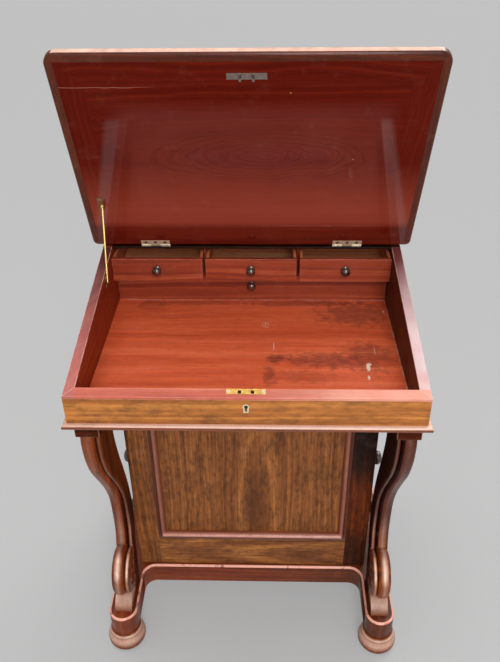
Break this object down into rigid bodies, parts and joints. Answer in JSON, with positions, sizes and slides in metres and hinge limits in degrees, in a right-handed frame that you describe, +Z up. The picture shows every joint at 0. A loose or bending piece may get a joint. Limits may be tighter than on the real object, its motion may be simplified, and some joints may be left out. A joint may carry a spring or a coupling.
{
  "type": "davenport desk",
  "caption": "Small writing desk with a sloping hinged lid over a well, small drawers inside, a pedestal of side drawers and S-scroll supports on a moulded plinth with bun feet.",
  "frame": {"origin": "on the floor, under the middle of the desk's overall box", "axes": "+X to the sitter's right, +Y to the back of the desk, +Z up"},
  "size_m": [0.5896, 0.522, 1.1309],
  "materials": {
    "case_mahogany": "polished, golden brown",
    "red_mahogany": "polished, red brown",
    "pedestal_veneer": "polished mottled veneer",
    "support_mahogany": "polished, warm brown",
    "drawer_lining": "bare, grey brown",
    "dark_knob": "polished, nearly black",
    "writing_leather": "dark tooled hide",
    "brass": "aged, lightly polished",
    "lock_steel": "dull"
  },
  "bodies": {
    "desk": {"case_hinge_leaves": "brass", "stay_wall_plate": "brass", "lock_case": "lock_steel", "lock_plate": "brass", "keyhole_liner": "brass", "case_front": "case_mahogany", "case_left_side": "case_mahogany", "case_right_side": "case_mahogany", "case_back": "case_mahogany", "top_lippings": "red_mahogany", "case_bottom_board": "case_mahogany", "case_top": "case_mahogany", "hinge_rail": "case_mahogany", "case_screws": "brass", "small_drawer_nest": "red_mahogany", "pedestal_front_frame": "pedestal_veneer", "pedestal_front_panel": "pedestal_veneer", "front_panel_moulding": "red_mahogany", "pedestal_right_frame": "pedestal_veneer", "pedestal_left_frame": "pedestal_veneer", "dummy_drawer_fronts": "case_mahogany", "dummy_drawer_knobs": "dark_knob", "drawer_runners": "drawer_lining", "pedestal_back": "pedestal_veneer", "plinth": "support_mahogany", "bun_feet": "support_mahogany", "right_scroll_support": "support_mahogany", "left_scroll_support": "support_mahogany", "scroll_toes": "support_mahogany", "support_caps": "support_mahogany"},
    "lid": {"lid_hinge_leaves": "brass", "lid_edge_moulding": "red_mahogany", "lid_frame": "red_mahogany", "lid_panel": "red_mahogany", "lid_writing_leather": "writing_leather", "lid_link_plate": "brass", "lid_stay_bracket": "brass", "lid_screws": "brass"},
    "stay": {"stay_rod": "brass"},
    "lock_bolt": {"lock_bolt": "lock_steel"},
    "left_small_drawer": {"left_small_drawer_front": "red_mahogany", "left_small_drawer_box": "drawer_lining", "left_small_drawer_knob": "dark_knob"},
    "middle_small_drawer": {"middle_small_drawer_front": "red_mahogany", "middle_small_drawer_box": "drawer_lining", "middle_small_drawer_knob": "dark_knob"},
    "right_small_drawer": {"right_small_drawer_front": "red_mahogany", "right_small_drawer_box": "drawer_lining", "right_small_drawer_knob": "dark_knob"},
    "long_drawer": {"long_drawer_front": "red_mahogany", "long_drawer_box": "drawer_lining", "long_drawer_knob": "dark_knob"},
    "side_drawer_1": {"side_drawer_1": "case_mahogany", "side_drawer_1_knobs": "dark_knob"},
    "side_drawer_2": {"side_drawer_2": "case_mahogany", "side_drawer_2_knobs": "dark_knob"},
    "side_drawer_3": {"side_drawer_3": "case_mahogany", "side_drawer_3_knobs": "dark_knob"},
    "side_drawer_4": {"side_drawer_4": "case_mahogany", "side_drawer_4_knobs": "dark_knob"}
  },
  "joints": [
    {"name": "lid_hinge", "type": "hinge", "parent": "desk", "child": "lid", "pos_m": [0, 0.103, 0.76555], "axis": [1, 0, 0], "range_deg": [0, 79.7]},
    {"name": "stay_pivot", "type": "hinge", "parent": "lid", "child": "stay", "pos_m": [-0.2511, 0.05754, 0.85948], "axis": [1, 0, 0], "range_deg": [-145.2, 0]},
    {"name": "lock_bolt_slide", "type": "slide", "parent": "desk", "child": "lock_bolt", "axis": [1, 0, 0], "range_m": [0, 0.007]},
    {"name": "left_small_drawer_slide", "type": "slide", "parent": "desk", "child": "left_small_drawer", "axis": [0, -1, 0], "range_m": [-0.031, 0.049]},
    {"name": "middle_small_drawer_slide", "type": "slide", "parent": "desk", "child": "middle_small_drawer", "axis": [0, -1, 0], "range_m": [-0.031, 0.049]},
    {"name": "right_small_drawer_slide", "type": "slide", "parent": "desk", "child": "right_small_drawer", "axis": [0, -1, 0], "range_m": [-0.031, 0.049]},
    {"name": "long_drawer_slide", "type": "slide", "parent": "desk", "child": "long_drawer", "axis": [0, -1, 0], "range_m": [0, 0.1]},
    {"name": "side_drawer_1_slide", "type": "slide", "parent": "desk", "child": "side_drawer_1", "axis": [1, 0, 0], "range_m": [0, 0.35]},
    {"name": "side_drawer_2_slide", "type": "slide", "parent": "desk", "child": "side_drawer_2", "axis": [1, 0, 0], "range_m": [0, 0.35]},
    {"name": "side_drawer_3_slide", "type": "slide", "parent": "desk", "child": "side_drawer_3", "axis": [1, 0, 0], "range_m": [0, 0.35]},
    {"name": "side_drawer_4_slide", "type": "slide", "parent": "desk", "child": "side_drawer_4", "axis": [1, 0, 0], "range_m": [0, 0.35]}
  ],
  "couplings": [
    {"joint": "stay_pivot", "follows": "lid_hinge", "ratio": -1.8155}
  ]
}
